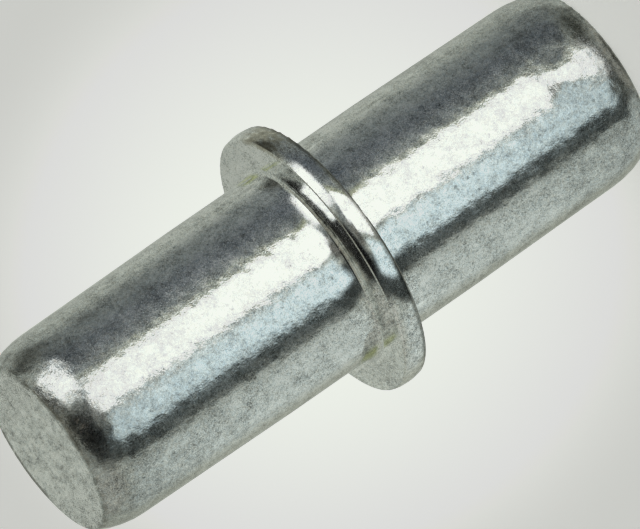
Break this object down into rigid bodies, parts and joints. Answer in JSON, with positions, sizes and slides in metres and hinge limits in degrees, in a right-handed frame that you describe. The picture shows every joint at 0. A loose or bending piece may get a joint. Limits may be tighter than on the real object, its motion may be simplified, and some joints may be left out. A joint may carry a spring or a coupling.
{
  "type": "shelf support pin",
  "caption": "Plain round metal shelf support pin with rounded ends and a collar in the middle that stops it in a drilled hole.",
  "frame": {"origin": "middle of the lower end face, on which the pin stands", "axes": "+Z along the pin, from the half that plugs into the panel to the half that carries the shelf"},
  "size_m": [0.0068, 0.0068, 0.016],
  "materials": {
    "zinc_plated_steel": "bright zinc plating with a fine grain, over cold-headed steel"
  },
  "bodies": {
    "root": {"pin": "zinc_plated_steel"}
  },
  "joints": []
}
